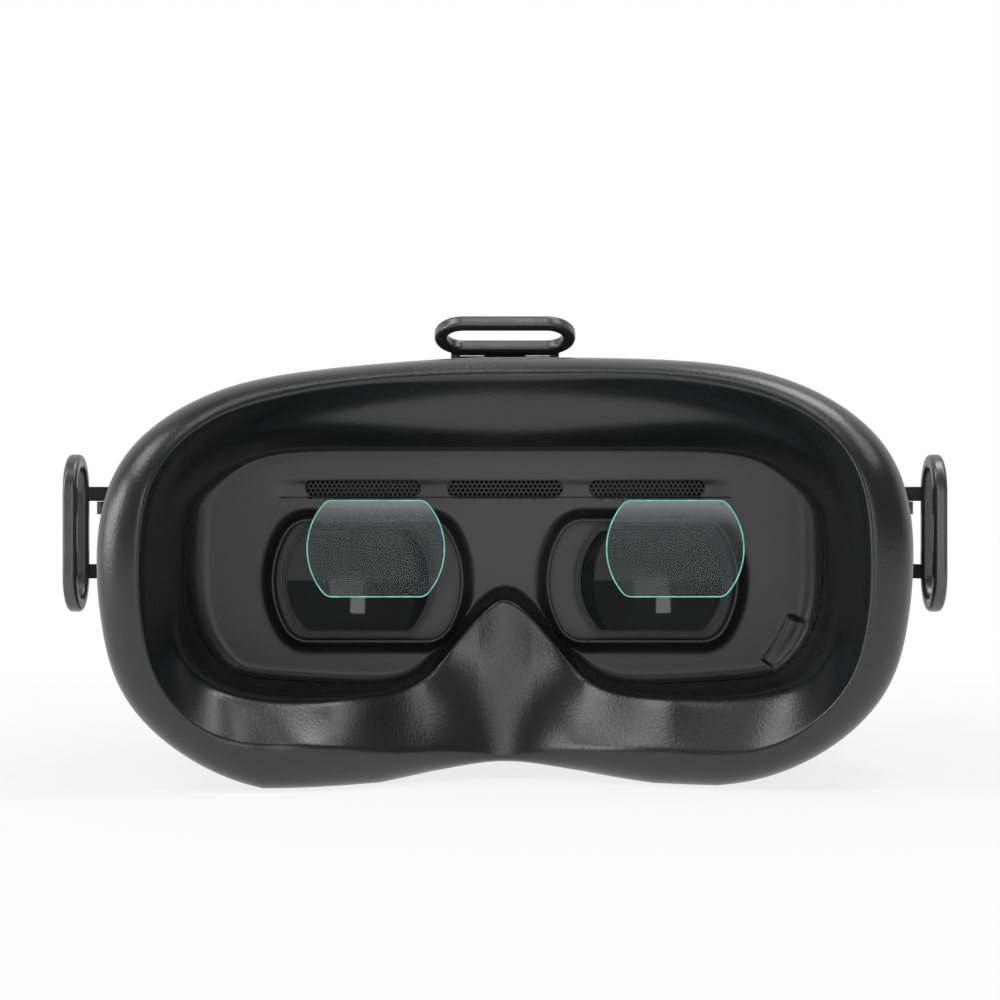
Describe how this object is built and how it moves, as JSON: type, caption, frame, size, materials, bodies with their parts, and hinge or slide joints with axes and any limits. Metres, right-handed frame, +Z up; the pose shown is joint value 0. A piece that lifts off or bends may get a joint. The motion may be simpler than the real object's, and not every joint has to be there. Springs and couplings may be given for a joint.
{
  "type": "head-mounted video goggles for piloting",
  "caption": "Head-mounted video goggles with a deep moulded face pad, sliding eyepieces, hinged strap loops, a vented front cover and threaded antenna sockets.",
  "frame": {"origin": "middle of the footprint, on the surface the goggles stand on", "axes": "+Z up, +Y the way the wearer looks, +X the wearer's right; the face goes in from -Y"},
  "size_m": [0.205, 0.122, 0.1087],
  "materials": {
    "pad_leather": "fine grained, satin",
    "shell_plastic": "fine textured",
    "inner_plastic": "smooth matte",
    "cover_plastic": "fine textured",
    "visor_plastic": "polished",
    "grille_plastic": "smooth",
    "lens_glass": "polished",
    "film_glass": "polished with a bright edge",
    "display_panel": "polished",
    "loop_metal": "satin",
    "pin_steel": "polished",
    "rod_steel": "ground",
    "mesh_metal": "matte",
    "screw_steel": "blackened",
    "board_laminate": "solder mask",
    "sink_aluminium": "anodised",
    "fan_plastic": "smooth",
    "button_rubber": "matte",
    "socket_metal": "plated",
    "antenna_brass": "plated",
    "socket_plastic": "smooth"
  },
  "bodies": {
    "housing": {"face_pad": "pad_leather", "rear_shell": "inner_plastic", "vent_mesh": "mesh_metal", "main_shell": "shell_plastic", "front_cover": "cover_plastic", "left_louvre": "grille_plastic", "right_louvre": "grille_plastic", "front_visor": "visor_plastic", "channel_display": "display_panel", "upper_guide_rod": "rod_steel", "lower_guide_rod": "rod_steel", "flange_screws": "screw_steel", "board_screws": "screw_steel", "main_board": "board_laminate", "heat_sink": "sink_aluminium", "fan_frame": "fan_plastic", "left_button_board": "board_laminate", "right_button_board": "board_laminate", "audio_socket": "socket_metal", "video_in_socket": "socket_metal", "power_socket": "socket_plastic", "data_socket": "socket_metal", "card_socket": "socket_metal", "top_loop_bracket": "shell_plastic", "left_loop_bracket": "shell_plastic", "right_loop_bracket": "shell_plastic", "top_loop_pin": "pin_steel", "left_loop_pin": "pin_steel", "right_loop_pin": "pin_steel", "upper_left_antenna_socket": "antenna_brass", "upper_right_antenna_socket": "antenna_brass", "lower_left_antenna_socket": "antenna_brass", "lower_right_antenna_socket": "antenna_brass"},
    "left_eyepiece": {"left_barrel": "inner_plastic", "left_lens": "lens_glass", "left_carriage": "socket_plastic", "left_eye_distance_knob": "cover_plastic", "left_display_case": "socket_plastic", "left_display": "display_panel"},
    "left_film": {"left_lens_film": "film_glass"},
    "left_loop": {"left_strap_loop": "loop_metal"},
    "right_eyepiece": {"right_barrel": "inner_plastic", "right_lens": "lens_glass", "right_carriage": "socket_plastic", "right_eye_distance_knob": "cover_plastic", "right_display_case": "socket_plastic", "right_display": "display_panel"},
    "right_film": {"right_lens_film": "film_glass"},
    "right_loop": {"right_strap_loop": "loop_metal"},
    "top_loop": {"top_strap_loop": "loop_metal"},
    "impeller": {"fan_impeller": "fan_plastic"},
    "shutter_button": {"shutter_button": "button_rubber"},
    "back_button": {"back_button": "button_rubber"},
    "channel_up_button": {"channel_up_button": "button_rubber"},
    "channel_down_button": {"channel_down_button": "button_rubber"},
    "link_button": {"link_button": "button_rubber"},
    "yoke": {"five_way_yoke": "socket_plastic"},
    "stem": {"five_way_stem": "pin_steel"},
    "stick_cap": {"five_way_cap": "button_rubber"}
  },
  "joints": [
    {"name": "left_eye_distance", "type": "slide", "parent": "housing", "child": "left_eyepiece", "axis": [1, 0, 0], "range_m": [0, 0.006]},
    {"name": "right_eye_distance", "type": "slide", "parent": "housing", "child": "right_eyepiece", "axis": [-1, 0, 0], "range_m": [0, 0.006]},
    {"name": "left_film_lift", "type": "slide", "parent": "left_eyepiece", "child": "left_film", "axis": [0.3464, -0.7505, 0.5629], "range_m": [-0.01386, 0.015]},
    {"name": "right_film_lift", "type": "slide", "parent": "right_eyepiece", "child": "right_film", "axis": [0.3464, -0.7505, 0.5629], "range_m": [-0.01386, 0.015]},
    {"name": "left_loop_hinge", "type": "hinge", "parent": "housing", "child": "left_loop", "pos_m": [-0.0954, -0.009, 0.0572], "axis": [0, 0, -1], "range_deg": [-12, 70]},
    {"name": "right_loop_hinge", "type": "hinge", "parent": "housing", "child": "right_loop", "pos_m": [0.0954, -0.009, 0.0572], "axis": [0, 0, 1], "range_deg": [-12, 70]},
    {"name": "top_loop_hinge", "type": "hinge", "parent": "housing", "child": "top_loop", "pos_m": [0, -0.004, 0.1001], "axis": [-1, 0, 0], "range_deg": [0, 110]},
    {"name": "fan_spin", "type": "hinge", "parent": "housing", "child": "impeller", "pos_m": [0.043, 0.045, 0.048], "axis": [0, 1, 0], "continuous": true},
    {"name": "shutter_press", "type": "slide", "parent": "housing", "child": "shutter_button", "axis": [0, 0, -1], "range_m": [0, 0.0006], "stiffness_N_per_m": 400, "springref_m": -0.001},
    {"name": "back_press", "type": "slide", "parent": "housing", "child": "back_button", "axis": [0, 0, -1], "range_m": [0, 0.0006], "stiffness_N_per_m": 400, "springref_m": -0.001},
    {"name": "channel_up_press", "type": "slide", "parent": "housing", "child": "channel_up_button", "axis": [0, 0, -1], "range_m": [0, 0.0006], "stiffness_N_per_m": 400, "springref_m": -0.001},
    {"name": "channel_down_press", "type": "slide", "parent": "housing", "child": "channel_down_button", "axis": [0, 0, -1], "range_m": [0, 0.0006], "stiffness_N_per_m": 400, "springref_m": -0.001},
    {"name": "link_press", "type": "slide", "parent": "housing", "child": "link_button", "axis": [1, 0, 0], "range_m": [0, 0.0006], "stiffness_N_per_m": 400, "springref_m": -0.001},
    {"name": "stick_fore_aft", "type": "hinge", "parent": "housing", "child": "yoke", "pos_m": [0.063, 0.014, 0.08163], "axis": [1, 0, 0], "range_deg": [-8, 8], "stiffness_Nm_per_rad": 0.02},
    {"name": "stick_side", "type": "hinge", "parent": "yoke", "child": "stem", "pos_m": [0.063, 0.014, 0.08163], "axis": [0, 1, 0], "range_deg": [-8, 8], "stiffness_Nm_per_rad": 0.02},
    {"name": "stick_press", "type": "slide", "parent": "stem", "child": "stick_cap", "axis": [0, 0, -1], "range_m": [0, 0.0006], "stiffness_N_per_m": 400, "springref_m": -0.001}
  ]
}
